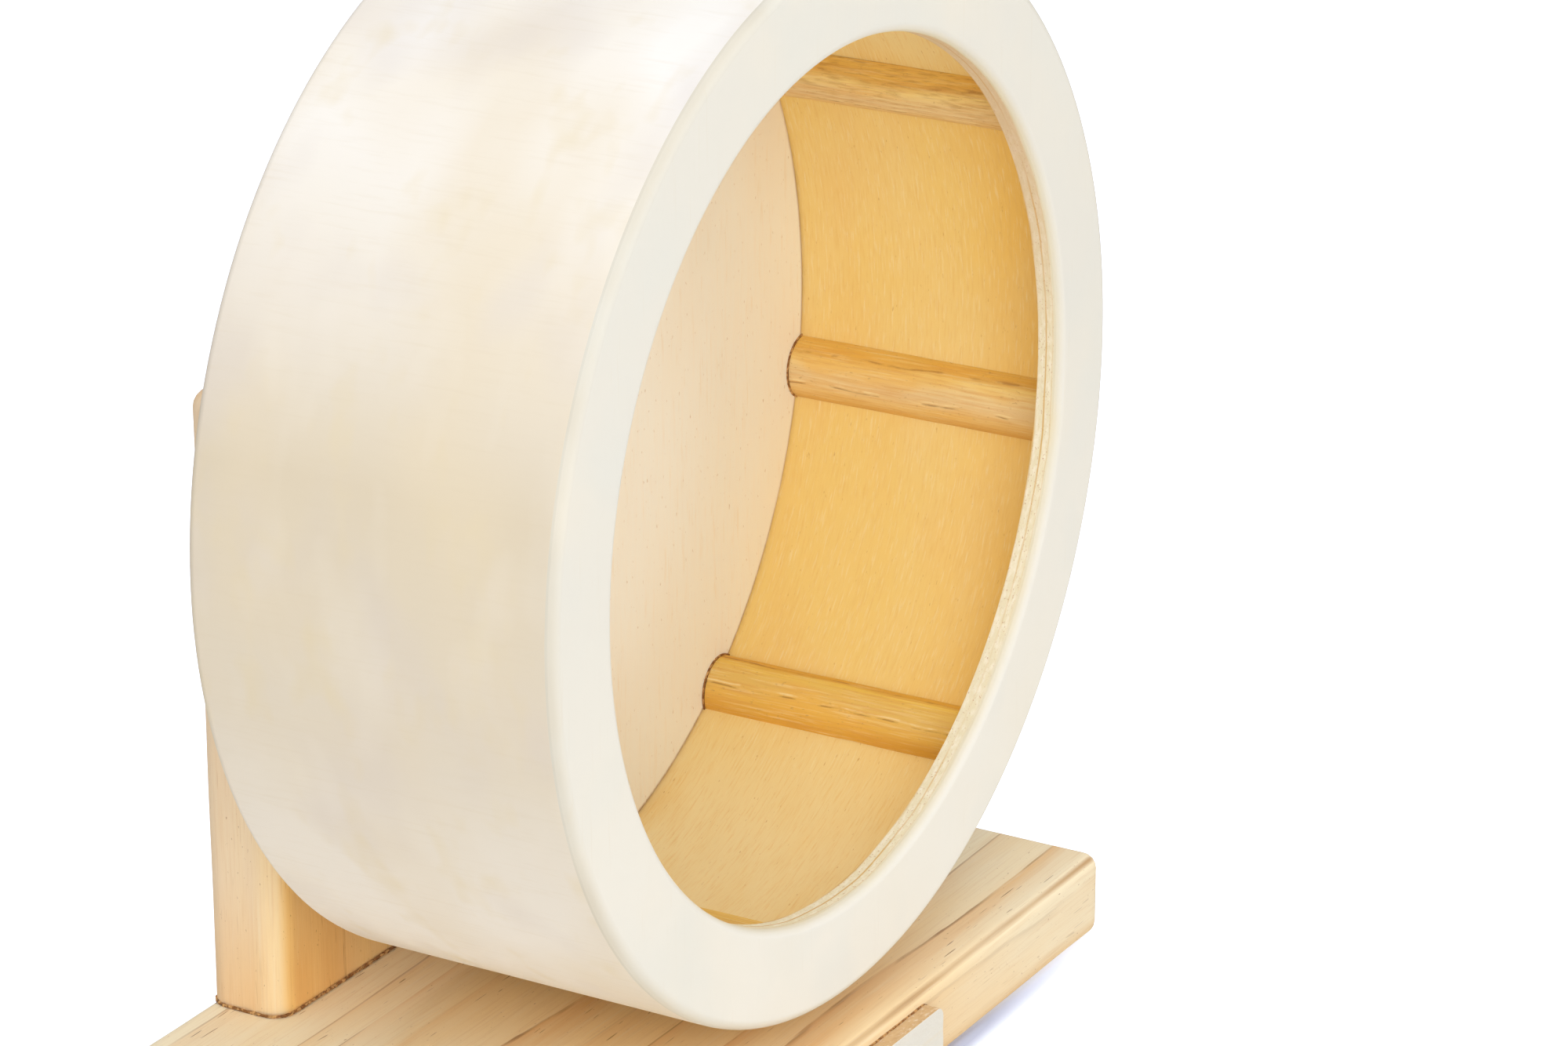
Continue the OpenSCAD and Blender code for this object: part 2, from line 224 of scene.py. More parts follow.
def reach_from_axle(add):
    """The distance of the surface from the axle."""
    spot = add("VectorMath", [add("TexCoord").outputs["Object"], AXLE], operation="SUBTRACT")
    flat = add("VectorMath", [spot, (1, 0, 1)], operation="MULTIPLY")
    return add("VectorMath", [flat], operation="LENGTH").outputs["Value"]


def height_on_drum(add):
    """0 at the bottom of the drum and 1 at its top, 100 mm below and above the axle."""
    reach = 100 * MM
    return add("MapRange", [place_along(add, Z), AXLE.z - reach, AXLE.z + reach])


def spots(add, size_mm, detail, shift=0.0, roughness=0.5):
    """A noise whose spots are size_mm along X, Y and Z."""
    place = add("Mapping", {"Vector": add("TexCoord").outputs["Object"], "Location": [shift] * 3,
                            "Scale": [1 / (size * MM) for size in size_mm]})
    return add("TexNoise", {"Vector": place, "Scale": 1.0, "Detail": detail,
                            "Roughness": roughness})


# One coat of a finish: its colour shows where a noise of size_mm along X, Y and Z rises from
# low to high, and covers at most strength of what is under it
Coat = namedtuple("Coat", "colour size_mm low high strength detail shift",
                  defaults=(1.0, 3, 0.0))


def lay_coats(add, colour, *coats):
    """Lays coats over a colour and gives the last colour node and each coat's noise node."""
    clouds = []
    for coat in coats:
        clouds.append(spots(add, coat.size_mm, coat.detail, coat.shift, roughness=0.6))
        cover = add("ValToRGB", [clouds[-1]], [(coat.low, 0), (coat.high, coat.strength)])
        colour = add("Mix", {FACTOR: cover, UNDER: colour, OVER: coat.colour})
    return colour, clouds


def whitewashed_band(colours):
    """Whitewashed bent plywood: matt and cream, cloudy where the thin coat lets wood through."""
    material, add = new_finish("whitewashed_bent_plywood")
    # painted light and shade: the coat is darker and warmer half-way up the drum and whiter at
    # its top and bottom, where the top light and the bounce from the floor fall
    thin = add("ValToRGB", [height_on_drum(add)], [(0.10, 0), (0.38, 0.75), (0.62, 1), (0.95, 0)])
    coat = add("Mix", {FACTOR: thin, UNDER: colours.band_white, OVER: "DED1BA"})
    colour, clouds = lay_coats(
        add, coat,
        Coat("E9DABE", (70, 46, 70), 0.42, 0.66, 0.55, 2),
        Coat("DCD3CE", (46, 34, 46), 0.48, 0.72, 0.5, 2, 7.3),
        Coat("F4EDE2", (26, 16, 34), 0.50, 0.74, 0.3, 2, 3.1),
        Coat("E6D6AE", (14, 10, 18), 0.56, 0.76, 0.35, 2, 11.0),
        # faint grain of the face ply, which runs along the axle so that the band could bend,
        # drawn coarser than the real pores so that it shows
        Coat("DCCDB2", (0.9, 14, 0.9), 0.52, 0.78, 0.15, 3, 1.7))
    return shade(material, add, colour, clouds[4], 0.02, Roughness=0.62, Specular_IOR_Level=0.3)


def ring_coat(add, colours):
    """The ring's coat, which is whiter low on the ring."""
    low = add("MapRange", [place_along(add, Z), AXLE.z + 10 * MM, AXLE.z - 90 * MM])
    return add("Mix", {FACTOR: low, UNDER: colours.ring_white, OVER: "F0ECE2"})


def whitewashed_ring(colours):
    """Whitewashed and sanded flat plywood: matt, almost even white."""
    material, add = new_finish("whitewashed_flat_plywood")
    # painted shade: the coat is darker along the outer edge, to dim the highlight that the
    # rounded lip catches
    outside = BAND_HIGH.z - AXLE.z
    lip_shade = add("MapRange", [reach_from_axle(add), outside - 2.3 * MM, outside - 0.5 * MM,
                            0, 0.65])
    coat = add("Mix", {FACTOR: lip_shade, UNDER: ring_coat(add, colours), OVER: "D3CBB9"})
    colour, clouds = lay_coats(
        add, coat,
        Coat("EEE8DA", (40, 40, 40), 0.45, 0.75, 0.6, 2),
        Coat("E2E3DD", (30, 30, 30), 0.48, 0.72, 0.5, 2, 4.4),
        Coat("DDD1B8", (0.9, 9, 22), 0.62, 0.85, 0.25, 3, 2.2))
    return shade(material, add, colour, clouds[2], 0.03, Roughness=0.6, Specular_IOR_Level=0.3)


def bare_band(colours):
    """Bare rotary-cut veneer: warm yellow, with fine lines that run round the band."""
    material, add = new_finish("bare_band_veneer")
    # painted light: the veneer is deeper yellow near the mouth, to lift the shade that the ring
    # casts into the band there
    mouth_light = add("MapRange", [place_along(add, Y), BAND_LOW.y + 26 * MM, BAND_LOW.y, 0, 0.85])
    veneer = add("Mix", {FACTOR: mouth_light, UNDER: colours.band_veneer, OVER: "FFC850"})
    # painted light: the veneer is paler at the top of the drum, and a little at the bottom, to
    # lift the shade inside the drum there
    lit_top_and_bottom = add("ValToRGB", [height_on_drum(add)], [(0.01, 0.8), (0.12, 0), (0.72, 0), (0.96, 1)])
    veneer = add("Mix", {FACTOR: lit_top_and_bottom, UNDER: veneer, OVER: "FFF0C4"})
    colour, clouds = lay_coats(
        add, veneer,
        Coat("F8DC9C", (60, 26, 60), 0.40, 0.70, 0.5, 2),
        Coat("F6CE7E", (50, 20, 50), 0.50, 0.72, 0.6, 2, 6.1),
        # fine cut lines, drawn about twice as wide as the real pores so that they show
        Coat("EFC270", (5, 0.45, 5), 0.50, 0.74, 0.5, 3, 3.7),
        Coat("FFEDBC", (4, 0.4, 4), 0.54, 0.74, 0.5, 3, 9.2),
        Coat("CC9448", (1.6, 0.5, 1.6), 0.72, 0.80, 0.5, 1, 5.3))
    return shade(material, add, colour, clouds[2], 0.05, Roughness=0.5)


def bare_panel(colours):
    """Sanded poplar plywood face: peach cream, almost even, with a few tiny pores."""
    material, add = new_finish("bare_panel_plywood")
    # glue darkens the joint round the panel, and painted shade darkens it further where the panel
    # meets the band
    joint = add("MapRange", [reach_from_axle(add), PANEL_RADIUS - MM, PANEL_RADIUS - 0.4 * MM,
                             0, 0.85])
    veneer = add("Mix", {FACTOR: joint, UNDER: colours.panel_veneer, OVER: "A87A42"})
    colour, clouds = lay_coats(
        add, veneer,
        Coat("FFF0D6", (50, 50, 70), 0.42, 0.72, 0.6, 2),
        Coat("FFF4E2", (1.0, 20, 14), 0.45, 0.75, 0.5, 3, 2.3),
        Coat("EFD2A6", (0.9, 20, 9), 0.58, 0.85, 0.45, 3, 7.7),
        Coat("C79F70", (0.7, 0.7, 1.6), 0.70, 0.80, 0.5, 1, 5.0))
    return shade(material, add, colour, clouds[2], 0.03, Roughness=0.55)


def bare_rung(colours):
    """Bare half-round moulding with coarse torn fibres: golden edges and a tan crown, partly the
    wood's colour and partly painted shade across the profile.
    """
    material, add = new_finish("bare_half_round_moulding")
    # 0 at one edge of the profile and 1 at the other, with a slight wave along the rung
    across = add("Attribute", attribute_name="across").outputs["Fac"]
    wave = add("MapRange", [spots(add, (9, 26, 9), 3), 0, 1, -0.12, 0.12])
    across = add("Math", [across, wave], operation="ADD")
    # golden edges and a tan crown: the wood's own colour, with painted shade of the half-round
    # profile laid into it
    profile_tone_and_shade = add("ValToRGB", [across], [
        (0.02, "E4B05C"), (0.18, "F2CA82"), (0.30, "F0CE94"), (0.44, "ECCE9E"), (0.60, "F2D69E"),
        (0.76, "FCE092"), (0.85, "E4B256"), (0.90, "EEBC52"), (0.98, "F2C45E")])
    body = add("Mix", {FACTOR: 0.8, UNDER: colours.rung_wood, OVER: profile_tone_and_shade})
    # the rungs low down in the drum are yellower
    height = place_along(add, Z)
    yellower = add("MapRange", [height, AXLE.z - 30 * MM, AXLE.z - 60 * MM, 0, 0.8])
    body = add("Mix", {FACTOR: yellower, UNDER: body, OVER: "FAEC98"}, blend_type="MULTIPLY")
    colour, clouds = lay_coats(
        add, body,
        Coat("F4BC50", (9, 30, 9), 0.52, 0.66, 0.5, 2, 4.0),
        Coat("E0A456", (0.6, 15, 0.6), 0.48, 0.72, 0.55, 4, 1.0),
        Coat("FFE8B4", (0.5, 12, 0.5), 0.52, 0.74, 0.5, 4, 8.0),
        # open pores, drawn about twice as wide as the real ones so that they show
        Coat("B98A54", (0.5, 1.2, 0.5), 0.64, 0.74, 0.4, 2, 2.0))
    # the rungs high up were cut from rougher wood, with short torn fibres all over
    rough = add("MapRange", [height, AXLE.z + 35 * MM, AXLE.z + 60 * MM])
    fibres = add("ValToRGB", [spots(add, (0.5, 4.5, 0.5), 4, 4.9)], [(0.48, 0), (0.68, 0.7)])
    cover = add("Math", [rough, fibres], operation="MULTIPLY")
    colour = add("Mix", {FACTOR: cover, UNDER: colour, OVER: "BC8840"})
    # a line of torn fibres runs below the crown: a dark crack, partly painted shade, beside a
    # bright line of splinters, partly painted highlight; a thin line of painted shade also runs
    # near the other edge, where the rung meets the band
    line_breaks = add("ValToRGB", [spots(add, (3, 6, 3), 4, 1.3)], [(0.48, 0), (0.60, 0.75)])
    for tone, start, end in (("96602A", 0.29, 0.33), ("FFE9B4", 0.33, 0.38),
                             ("B0783A", 0.82, 0.87)):
        line = add("ValToRGB", [across], [(start, 0), ((start + end) / 2, 1), (end, 0)])
        cover = add("Math", [line, line_breaks], operation="MULTIPLY")
        colour = add("Mix", {FACTOR: cover, UNDER: colour, OVER: tone})
    return shade(material, add, colour, clouds[1], 0.22, Roughness=0.6)


def mouth_plies(colours):
    """Cut edge of the mouth ring: a pale face ply, a brown glue line and crumbly end grain."""
    material, add = new_finish("plywood_cut_edge")
    face, _ = lay_coats(add, "E9E4CF", Coat("EBE0C0", (14, 8, 14), 0.44, 0.70, 0.5, 2))
    core, crumbs = lay_coats(add, "EFE8CC",
                             Coat("FCF8E8", (2.4, 0.8, 2.4), 0.46, 0.66, 0.8, 3, 5.5),
                             Coat("C49A74", (0.55, 0.4, 0.55), 0.62, 0.70, 0.7, 2, 3.0))
    # the plies wander to and fro in waves 17 mm long
    wander, wave_mm = 0.6 * MM, 50 / 3
    depth = add("Math", [spots(add, [wave_mm] * 3, 2), 2 * wander, place_along(add, Y)],
                operation="MULTIPLY_ADD")
    # 0 at the ring's front face and 1 at its back
    into = add("MapRange", [depth, RING_LOW.y + wander, RING_HIGH.y + wander])
    # the whitewash thins out round the rounded edge, down to the bare ply
    bare = add("ValToRGB", [into], [(0.02, 0), (0.30, 1)])
    front = add("Mix", {FACTOR: bare, UNDER: ring_coat(add, colours), OVER: face})
    sawn = add("ValToRGB", [into], [(0.30, 0), (0.42, 1)])
    plies = add("Mix", {FACTOR: sawn, UNDER: front, OVER: core})
    # the two glue lines of the ply between show in patches 45 mm wide, sanded clean by hand
    patch_mm = 500 / 11
    line = add("ValToRGB", [into], [
        (0.35, 0), (0.38, 0.35), (0.41, 0), (0.60, 0), (0.63, 0.8), (0.66, 0.8), (0.69, 0),
        (0.93, 0), (1.0, 0.9)])
    clean = add("ValToRGB", [spots(add, [patch_mm] * 3, 1, 48.4)], [(0.42, 0.15), (0.58, 1)])
    cover = add("Math", [line, clean], operation="MULTIPLY")
    lined = add("Mix", {FACTOR: cover, UNDER: plies, OVER: "D6AC58"})
    # the sawn core is browner high up
    high = add("MapRange", [place_along(add, Z), AXLE.z, AXLE.z + 50 * MM, 0, 0.6])
    browner_high = add("Math", [high, sawn], operation="MULTIPLY")
    colour = add("Mix", {FACTOR: browner_high, UNDER: lined, OVER: "D8B48A"})
    return shade(material, add, colour, crumbs[1], 0.05, Roughness=0.7)


# What sets one pine board apart: its late wood, the line that ends each year, its warm streaks,
# whose colour also tints its painted warm shade, the axis that its fibres follow, the pith's
# place on the other two axes, the width of a growth ring, the middle and reach of its painted
# warm shade, its long edges that have a tone of their own or painted shade as (colour, place,
# reach), the axis that its wide faces look along, and the axis along which faces look that get
# painted shade, with its tone
Pine = namedtuple("Pine", "late line warm along pith_mm ring_mm heart_mm heart_reach edges "
                          "wide tinted tint")


def planed_pine(name, early, pine):
    """Planed pine: pale early wood that darkens to a thin brown line at the end of each year."""
    material, add = new_finish(name)
    place = add("TexCoord").outputs["Object"]
    axes = add("SeparateXYZ", [place]).outputs
    across = [axis for axis in AXES if axis != pine.along]

    def sizes(wide, long):
        """Noise sizes that are long with the fibres and wide across them."""
        return [long if axis == pine.along else wide for axis in AXES]

    def streaks(wide, long, shift, detail):
        """A noise of those sizes."""
        return spots(add, sizes(wide, long), detail, shift)

    # the rings wander a few millimetres as they run along the board
    wander_mm = 4.5
    bent = []
    for axis, pith in zip(across, pine.pith_mm):
        moved = add("Math", [streaks(30, 110, 3.7 * axis + 1, 1), 2 * wander_mm * MM, axes[axis]],
                    operation="MULTIPLY_ADD")
        bent.append(add("Math", [moved, (wander_mm + pith) * MM], operation="SUBTRACT"))
    radius = add("VectorMath", [add("CombineXYZ", bent)], operation="LENGTH").outputs["Value"]
    # dry years grew narrow rings and wet ones wide rings, and fibres fray every ring
    for wave, swing_mm in ((streaks(13, 500, 12.4, 0), 14), (streaks(0.9, 14, 0, 3), 0.8)):
        radius = add("Math", [wave, swing_mm * MM, radius], operation="MULTIPLY_ADD")
    count = add("Math", [radius, pine.ring_mm * MM], operation="DIVIDE")
    ring = add("Math", [count], operation="FRACT")
    # every year's ring has a strength of its own, and fades and returns along its way
    year = add("Math", [count], operation="FLOOR")
    luck = add("TexWhiteNoise", {"W": year}, noise_dimensions="1D").outputs["Value"]
    strong = add("MapRange", [luck, 0, 1, 0.35, 1.0])
    fade = add("ValToRGB", [streaks(7, 30, 5, 2)], [(0.42, 0.08), (0.60, 0.95)])
    bloom = add("ValToRGB", [streaks(6, 60, 2.6, 2)], [(0.34, 0.45), (0.62, 1)])
    # the narrow sides lie along the rings, which hardly show there
    normal = add("SeparateXYZ", [add("TexCoord").outputs["Normal"]]).outputs
    facing = [add("Math", [normal[axis]], operation="ABSOLUTE") for axis in AXES]
    narrow = facing[sum(AXES) - pine.along - pine.wide]
    calm = add("ValToRGB", [narrow], [(0.55, 1), (0.95, 0.3)])
    cover = add("ValToRGB", [ring], [(0.0, 0.1), (0.12, 0), (0.45, 0.1), (0.72, 0.45),
                                     (0.90, 0.9), (0.97, 1), (1.0, 0.1)])
    for factor in (strong, bloom, calm):
        cover = add("Math", [cover, factor], operation="MULTIPLY")
    rings = add("Mix", {FACTOR: cover, UNDER: early, OVER: pine.late})
    # the line is drawn about twice as wide as the real one so that it shows
    width = 0.35 / pine.ring_mm
    line = add("ValToRGB", [ring], [
        (1 - 2.2 * width, 0), (1 - width, 0.8), (1 - 0.3 * width, 0.8), (1.0, 0)])
    for factor in (strong, fade):
        line = add("Math", [line, factor], operation="MULTIPLY")
    # resin ducts: short dark dashes in the late wood
    late_part = add("ValToRGB", [ring], [(0.35, 0.1), (0.60, 1), (0.97, 1), (1.0, 0)])
    dash = add("ValToRGB", [streaks(0.5, 7, 9, 0)], [(0.775, 0), (0.81, 0.8)])
    ducts = add("Math", [late_part, dash], operation="MULTIPLY")
    dark = add("Math", [line, ducts], operation="MAXIMUM")
    dark = add("Math", [dark, calm], operation="MULTIPLY")
    colour = add("Mix", {FACTOR: dark, UNDER: rings, OVER: pine.line})
    # painted shade and bounce light: the board is warmer and darker round one spot, in the drum's
    # shade on the base and at the post's foot
    gap = add("VectorMath", [place, [s * MM for s in pine.heart_mm]],
              operation="DISTANCE").outputs["Value"]
    painted_warm_shade = add("MapRange", [gap, pine.heart_reach * MM, pine.heart_reach * 0.3 * MM, 0, 0.7])
    colour = add("Mix", {FACTOR: painted_warm_shade, UNDER: colour, OVER: pine.warm}, blend_type="MULTIPLY")
    # some long edges have a tone of their own: painted shade along the base's rounded top and
    # bottom front edges, and a golden tone along the post's front corner
    cut = add("CombineXYZ", [axes[axis] for axis in across])
    for tone, edge_mm, reach_mm in pine.edges:
        gap = add("VectorMath", [cut, [s * MM for s in (*edge_mm, 0)]],
                  operation="DISTANCE").outputs["Value"]
        near = add("MapRange", [gap, reach_mm * MM, reach_mm * 0.4 * MM])
        edge_tone_and_shade = add("Math", [near, bloom], operation="MULTIPLY")
        colour = add("Mix", {FACTOR: edge_tone_and_shade, UNDER: colour, OVER: tone})
    colour, clouds = lay_coats(
        add, colour,
        Coat(pine.warm, sizes(14, 110), 0.46, 0.68, 0.4, 2, 6.6),
        # fibres, drawn about as wide as two real ones so that they show
        Coat("D9AA72", sizes(0.5, 16), 0.50, 0.78, 0.3, 4, 2.9),
        Coat("FFF3DC", sizes(0.6, 20), 0.55, 0.80, 0.3, 3, 8.8),
        # tiny pits that the planer left
        Coat("A57443", sizes(0.5, 1.1), 0.73, 0.79, 0.5, 1, 4.1))
    # end grain soaks up more light and looks browner; the faces along one more axis get painted
    # shade, dimmer on the base and golden on the post
    for axis, tone, most in ((pine.along, "E0B885", 0.5), (pine.tinted, pine.tint, 0.7)):
        face = add("ValToRGB", [facing[axis]], [(0.75, 0), (0.98, most)])
        colour = add("Mix", {FACTOR: face, UNDER: colour, OVER: tone}, blend_type="MULTIPLY")
    return shade(material, add, colour, clouds[1], 0.05, Roughness=0.55, Specular_IOR_Level=0.35)


def base_pine(colours):
    """Flat-sawn pine: the year lines run along the board's top, about 12 mm apart."""
    # painted shade: the warm spot under the drum, the brown line along the rounded top front
    # edge, the tan along the bottom front edge and the dimmer front and back faces
    return planed_pine("planed_pine_base", colours.base_pine, Pine(
        "EABB7E", "8A5A30", "FFDCA0", X, (-208, -60), 11.5, (0, -15, 18), 75,
        [("B28656", (-59.1, 17.7), 1.2), ("E6C08A", (-60, -0.5), 5)], Z, Y, "F1EEEC"))


def post_pine(colours):
    """The post's pine: upright fibres, with year lines only on its wide faces."""
    # painted shade and bounce light: the warm spot at the post's front left foot and the golden
    # front and back faces
    return planed_pine("planed_pine_post", colours.post_pine, Pine(
        "EBC796", "A0622F", "FFE6B8", Z, (-203, 51), 14.5, (-56, 43, 18), 30,
        [("FAE0B0", (-54.8, 44.7), 4.6)], Y, Y, "FFE49C"))


def label_plywood(colours):
    """Thin plywood: a whitewashed face and sawn edges that crumble and show brown."""
    material, add = new_finish("whitewashed_sawn_plywood")
    edge, crumbs = lay_coats(add, "E0BC8A",
                             Coat("CC9C68", (1.6, 0.8, 0.8), 0.48, 0.68, 0.45, 4, 2.4),
                             Coat("F9E6CC", (1.8, 0.9, 0.9), 0.54, 0.68, 0.7, 4, 6.2))
    face, _ = lay_coats(add, colours.ring_white,
                        Coat("E9DFCB", (24, 5, 1.2), 0.50, 0.80, 0.5, 3, 1.1))
    normal = add("SeparateXYZ", [add("TexCoord").outputs["Normal"]]).outputs
    front = add("Math", [normal[Y], -1.0], operation="MULTIPLY")
    which = add("ValToRGB", [front], [(0.5, 0), (0.8, 1)])
    colour = add("Mix", {FACTOR: which, UNDER: edge, OVER: face})
    return shade(material, add, colour, crumbs[0], 0.2, Roughness=0.65)


def turned_beech(colours):
    """Turned beech: pinkish tan, with short dark flecks along the grain."""
    material, add = new_finish("turned_beech")
    colour, clouds = lay_coats(add, "E3C095",
                               Coat("CE9C69", (5, 5, 50), 0.42, 0.70, 0.7, 3, 1.5),
                               Coat("F0D6B2", (2, 2, 30), 0.50, 0.80, 0.6, 3, 4.5),
                               Coat("A26B3E", (0.4, 0.4, 2.6), 0.66, 0.76, 0.8, 1, 7.5))
    return shade(material, add, colour, clouds[0], 0.03, Roughness=0.5)


def dried_glue(colours):
    """Dried glue and dust in a joint: a dull, uneven brown."""
    material, add = new_finish("dried_wood_glue")
    colour, clouds = lay_coats(add, "8C5C2C",
                               Coat("D2A468", (1.4, 1.4, 1.4), 0.46, 0.54, 0.95, 3),
                               Coat("6B4420", (0.9, 0.9, 0.9), 0.55, 0.70, 0.7, 2, 3.3))
    return shade(material, add, colour, clouds[0], 0.2, Roughness=0.75)


def worn_metal(name, bright, dull, roughness, size_mm):
    """A metal whose gloss and colour are broken by fine marks of size_mm along X, Y and Z."""
    material, add = new_finish(name)
    colour, clouds = lay_coats(add, bright, Coat(dull, size_mm, 0.35, 0.75, 0.9, 3),
                               Coat(dull, (5, 5, 5), 0.45, 0.70, 0.5, 2, 6.0))
    gloss = add("MapRange", [clouds[1], 0, 1, roughness - 0.08, roughness + 0.12])
    return shade(material, add, colour, clouds[0], 0.01, Roughness=gloss, Metallic=1.0)


def zinc_plate(colours):
    """Bright zinc plate on turned steel: bluish silver, half matt, with fine turning marks."""
    return worn_metal("bright_zinc_plated_steel", "C9CCD0", "A2A6AB", 0.36, (0.6, 3, 0.6))


def yellow_zinc(colours):
    """Yellow zinc plate: brassy with a slight bloom."""
    return worn_metal("yellow_zinc_plated_steel", "D8BC74", "B4924A", 0.34, (0.7, 0.7, 0.7))


def ground_steel(colours):
    """Ground bearing steel: bright, with fine lines that run round the ring."""
    return worn_metal("ground_bearing_steel", "D6D7D8", "B9BBBD", 0.2, (4, 0.35, 4))


def pressed_steel(colours):
    """Pressed steel strip: greyer and duller than the ground rings."""
    return worn_metal("pressed_cage_steel", "B4ADA2", "8E877D", 0.42, (0.8, 0.8, 0.8))


def finish_of(make):
    """The finish that a function makes, made once and shared by the pieces that have it."""
    found = next((m for m in bpy.data.materials if m.get("finish") == make.__name__), None)
    if found is None:
        found = make(bpy.context.scene.wheel_colours)
        found["finish"] = make.__name__
    return found


def to_piece(name, bm, makers, body, slot, *nodes):
    """Turns a bmesh into a finished piece that rides on a body and stands for CAD nodes."""
    bmesh.ops.remove_doubles(bm, verts=bm.verts, dist=SAME)
    bmesh.ops.recalc_face_normals(bm, faces=bm.faces)
    mesh = bpy.data.meshes.new(name)
    bm.to_mesh(mesh)
    bm.free()
    mesh.shade_smooth()
    mesh.set_sharp_from_angle(angle=SMOOTH_ANGLE)
    for make in makers:
        mesh.materials.append(finish_of(make))
    piece = bpy.data.objects.new(name, mesh)
    bpy.context.scene.collection.objects.link(piece)
    # large flat faces stay flat beside their rounded edges
    flatten = piece.modifiers.new("flat faces", "WEIGHTED_NORMAL")
    flatten.keep_sharp = True
    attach(piece, body)
    if nodes:
        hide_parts(*nodes)


def dress_nodes(make, *nodes):
    """Gives CAD nodes that stay their finish."""
    for name in nodes:
        for slot in bpy.data.objects[name].material_slots:
            slot.material = finish_of(make)


def hand_sand(bm, depth, wave, seed, to_axle=False):
    """Moves the points inwards by up to depth, in soft waves, as hand sanding does.

    Inwards is against the normals, or straight towards the axle.
    """
    bm.normal_update()
    shift = Vector((seed, 2.7 * seed, 5.1 * seed))
    moves = [0.5 + 0.5 * noise.noise(vertex.co / wave + shift) for vertex in bm.verts]
    for vertex, move in zip(bm.verts, moves):
        out = vertex.normal
        if to_axle:
            out = Vector((vertex.co.x, 0, vertex.co.z - AXLE.z)).normalized()
        vertex.co -= out * depth * move


def slice_across(bm, step, *axes):
    """Cuts a bmesh across axes about every step, so that it can carry soft waves."""
    for axis in axes:
        places = [vertex.co[axis] for vertex in bm.verts]
        low, high = min(places), max(places)
        count = max(1, round((high - low) / step))
        normal = Vector([float(axis == other) for other in AXES])
        for number in range(1, count):
            bmesh.ops.bisect_plane(bm, geom=bm.verts[:] + bm.edges[:] + bm.faces[:],
                                   plane_co=normal * (low + (high - low) * number / count),
                                   plane_no=normal)


def new_block(low, high):
    """A box between two corners."""
    bm = bmesh.new()
    place = Matrix.Translation((low + high) / 2) @ Matrix.Diagonal((*(high - low), 1))
    bmesh.ops.create_cube(bm, size=1, matrix=place)
    return bm


def lies_at(edge, axis, place):
    """Whether an edge lies on the plane at place on an axis."""
    return all(abs(vertex.co[axis] - place) < SAME for vertex in edge.verts)


def runs_along(edge, axis):
    """Whether an edge runs along an axis."""
    first, second = edge.verts
    line = second.co - first.co
    return abs(line[axis]) > 0.999 * line.length


def round_edges(bm, radius, segments, chosen):
    """Rounds the sharp edges that chosen picks."""
    edges = [edge for edge in bm.edges
             if edge.calc_face_angle(0) > SHARP_ANGLE and chosen(edge)]
    bmesh.ops.bevel(bm, geom=edges, offset=radius, offset_type="OFFSET", segments=segments,
                    profile=0.5, affect="EDGES", clamp_overlap=True, material=-1)


def rounded_board(low, high, corner, edge_radius, heights, step):
    """A board with rounded upright corners, and its edges at some heights rounded too."""
    bm = new_block(low, high)
    round_edges(bm, corner, 6, lambda edge: runs_along(edge, Z))
    for height in heights:
        round_edges(bm, edge_radius, 5, lambda edge: lies_at(edge, Z, height))
    slice_across(bm, step, *AXES)
    return bm


def turned(profile, steps, centre=AXLE, aim=BACKWARDS, closed=True):
    """A profile of (radius, distance) points turned round the line from centre towards aim."""
    bm = bmesh.new()
    side = aim.orthogonal().normalized()
    points = [bm.verts.new(centre + aim * along + side * radius) for radius, along in profile]
    edges = [bm.edges.new(pair) for pair in zip(points, points[1:])]
    if closed:
        edges.append(bm.edges.new((points[-1], points[0])))
    bmesh.ops.spin(bm, geom=points + edges, cent=centre, axis=aim, angle=math.tau,
                   steps=steps, use_merge=True, use_duplicate=False)
    bmesh.ops.remove_doubles(bm, verts=bm.verts, dist=SAME)
    bmesh.ops.recalc_face_normals(bm, faces=bm.faces)
    return bm


def tube(inner, outer, front, back, steps):
    """A tube round the axle."""
    return turned([(inner, front), (outer, front), (outer, back), (inner, back)], steps)


def pin(sections, steps, centre=AXLE, aim=BACKWARDS):
    """A solid pin: (radius, distance) points of its side, from centre towards aim."""
    return turned([(0, sections[0][1]), *sections, (0, sections[-1][1])], steps, centre, aim,
                  closed=False)


def from_axle(point):
    """Distance of a point from the axle."""
    return math.hypot(point.x, point.z - AXLE.z)


def on_circle(edge, radius, y):
    """Whether an edge lies on the circle of a radius round the axle at y."""
    return lies_at(edge, Y, y) and all(abs(from_axle(v.co) - radius) < SAME for v in edge.verts)


def paint_faces(bm, number, chosen):
    """Gives the faces that chosen(middle, normal) picks another of the piece's materials."""
    bm.normal_update()
    for face in bm.faces:
        if chosen(face.calc_center_median(), face.normal):
            face.material_index = number


def carve(bm, *cutters, keep_shared=False):
    """Takes closed cutters out of a closed bmesh, or keeps only what they share."""
    for cutter in cutters:
        shapes = []
        for shape in (bm, cutter):
            bmesh.ops.recalc_face_normals(shape, faces=shape.faces)
            mesh = bpy.data.meshes.new("scratch")
            shape.to_mesh(mesh)
            shapes.append(bpy.data.objects.new("scratch", mesh))
            bpy.context.scene.collection.objects.link(shapes[-1])
        block, tool = shapes
        cut = block.modifiers.new("cut", "BOOLEAN")
        cut.operation = "INTERSECT" if keep_shared else "DIFFERENCE"
        cut.solver = "EXACT"
        cut.object = tool
        result = block.evaluated_get(bpy.context.evaluated_depsgraph_get())
        bm.clear()
        bm.from_mesh(result.to_mesh())
        result.to_mesh_clear()
        for shape in shapes:
            bpy.data.meshes.remove(shape.data)
        cutter.free()


